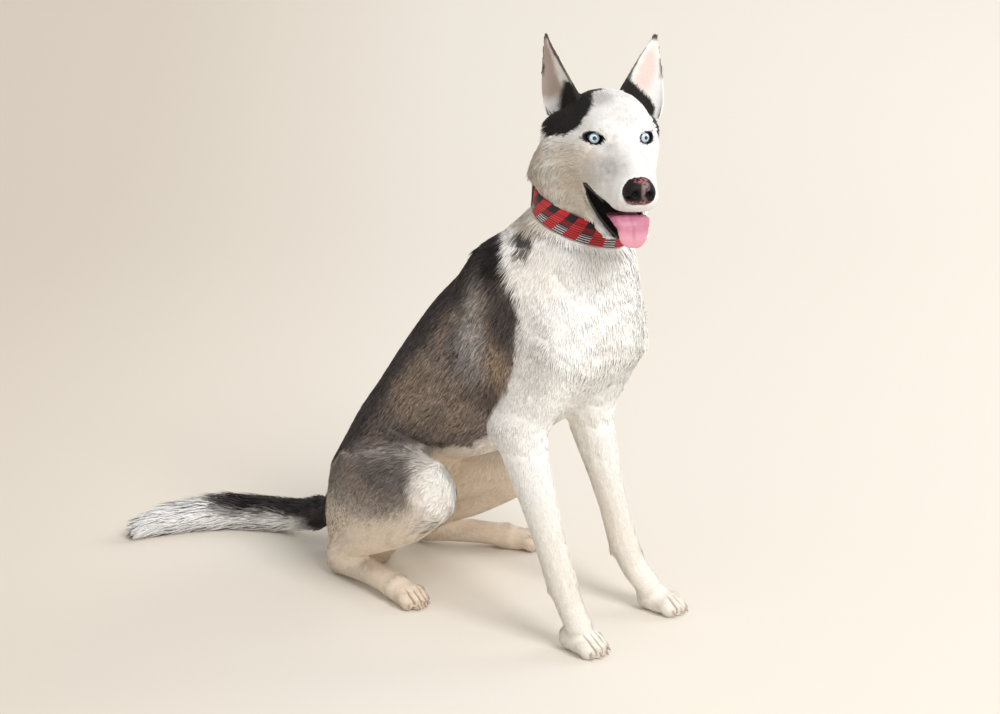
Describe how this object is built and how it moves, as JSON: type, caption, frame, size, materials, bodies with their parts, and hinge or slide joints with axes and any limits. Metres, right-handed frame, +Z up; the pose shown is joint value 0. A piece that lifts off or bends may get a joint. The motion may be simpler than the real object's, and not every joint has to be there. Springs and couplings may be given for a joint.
{
  "type": "siberian husky",
  "caption": "Life-size sitting siberian husky with a woven plaid collar, head turned to its right, mouth open and tongue out.",
  "frame": {"origin": "on the floor under the centre of the bounding box", "axes": "+X the way the body faces, +Y the dog's left, +Z up"},
  "size_m": [0.8802, 0.3758, 0.7912],
  "materials": {
    "white_coat": "soft white fur",
    "dark_coat": "grey and black fur",
    "ear": "short velvety fur",
    "eye": "clear pale blue eye, wet gloss",
    "nose_leather": "black nose leather with pink patches",
    "tongue": "moist pink tongue",
    "claw": "pale horn",
    "collar_webbing": "woven red, black and white plaid webbing"
  },
  "bodies": {
    "root": {"claw_fore_left_1": "claw", "claw_fore_left_2": "claw", "claw_fore_left_3": "claw", "claw_fore_left_4": "claw", "claw_fore_right_1": "claw", "claw_fore_right_2": "claw", "claw_fore_right_3": "claw", "claw_fore_right_4": "claw", "claw_hind_left_1": "claw", "claw_hind_left_2": "claw", "claw_hind_left_3": "claw", "claw_hind_left_4": "claw", "claw_hind_right_1": "claw", "claw_hind_right_2": "claw", "claw_hind_right_3": "claw", "claw_hind_right_4": "claw", "collar": "collar_webbing", "ear_left": "ear", "ear_right": "ear", "eye_left": "eye", "eye_right": "eye", "forearm_left": "white_coat", "forearm_right": "white_coat", "forepaw_left": "white_coat", "forepaw_right": "white_coat", "head": "white_coat", "hind_foot_left": "white_coat", "hind_foot_right": "white_coat", "lower_jaw": "white_coat", "lower_leg_left": "white_coat", "lower_leg_right": "white_coat", "muzzle": "white_coat", "neck": "white_coat", "nose": "nose_leather", "tail": "dark_coat", "thigh_left": "dark_coat", "thigh_right": "dark_coat", "tongue": "tongue", "torso": "dark_coat", "upper_arm_left": "white_coat", "upper_arm_right": "white_coat"}
  },
  "joints": []
}
